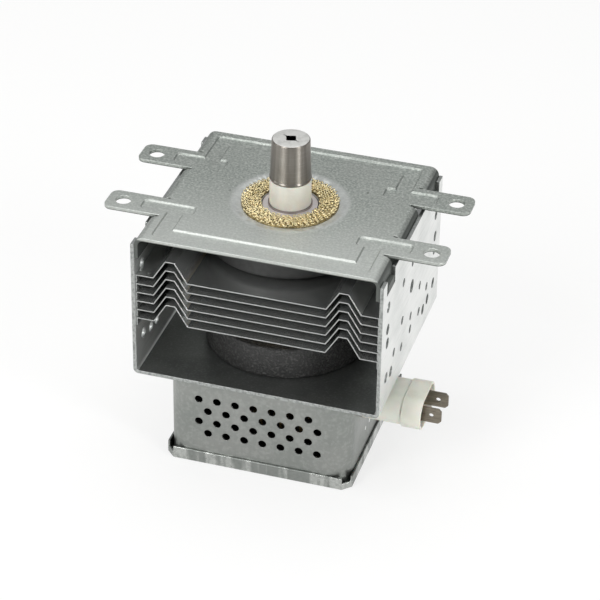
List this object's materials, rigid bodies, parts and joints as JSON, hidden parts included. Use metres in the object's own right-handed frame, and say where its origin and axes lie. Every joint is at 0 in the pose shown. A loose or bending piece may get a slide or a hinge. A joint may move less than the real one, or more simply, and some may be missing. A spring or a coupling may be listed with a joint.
{
  "type": "magnetron",
  "caption": "Packaged microwave-oven magnetron: bent steel yoke with mounting lugs, ferrite ring magnets, cooling fins, antenna with mesh gasket, and perforated filter box.",
  "frame": {"origin": "antenna axis on the upper face of the top plate, at the middle of the lug holes", "axes": "+Z along the antenna, +X towards the filament tabs, +Y to the rear"},
  "size_m": [0.1276, 0.0816, 0.1218],
  "materials": {
    "plate_zinc": "galvanised, rolled",
    "frame_zinc": "galvanised, rolled",
    "ferrite": "sintered, granular",
    "fin_aluminium": "rolled, sheared edges",
    "copper": "brazed copper",
    "pole_steel": "pressed steel",
    "seal_steel": "plated, pressed",
    "alumina": "matt sintered",
    "antenna_steel": "drawn stainless",
    "gasket_brass": "knitted wire",
    "cathode_metal": "drawn wire",
    "case_zinc": "galvanised, drawn",
    "lid_zinc": "galvanised, folded",
    "capacitor_resin": "cast resin",
    "skirt_plastic": "moulded",
    "tab_metal": "tin plated, darkened"
  },
  "bodies": {
    "root": {"yoke_top": "plate_zinc", "yoke_frame": "frame_zinc", "upper_magnet": "ferrite", "lower_magnet": "ferrite", "anode_cylinder": "copper", "anode_vanes": "copper", "strap_rings": "copper", "upper_pole_piece": "pole_steel", "lower_pole_piece": "pole_steel", "cooling_fin_1": "fin_aluminium", "cooling_fin_2": "fin_aluminium", "cooling_fin_3": "fin_aluminium", "cooling_fin_4": "fin_aluminium", "cooling_fin_5": "fin_aluminium", "cooling_fin_6": "fin_aluminium", "output_seal_cup": "seal_steel", "antenna_ceramic": "alumina", "exhaust_tube": "copper", "antenna_cap": "antenna_steel", "antenna_lead": "copper", "rf_gasket": "gasket_brass", "filament": "cathode_metal", "upper_end_hat": "cathode_metal", "lower_end_hat": "cathode_metal", "centre_lead": "cathode_metal", "side_lead": "cathode_metal", "stem_seal_cup": "seal_steel", "stem_ceramic": "alumina", "stem_terminal_centre": "seal_steel", "stem_terminal_side": "seal_steel", "filter_case": "case_zinc", "filter_lid": "lid_zinc", "capacitor_body": "capacitor_resin", "capacitor_skirt": "skirt_plastic", "capacitor_plate": "case_zinc", "terminal_tab_front": "tab_metal", "terminal_tab_rear": "tab_metal", "choke_coil_front": "copper", "choke_coil_rear": "copper", "choke_core_front": "ferrite", "choke_core_rear": "ferrite"}
  },
  "joints": []
}
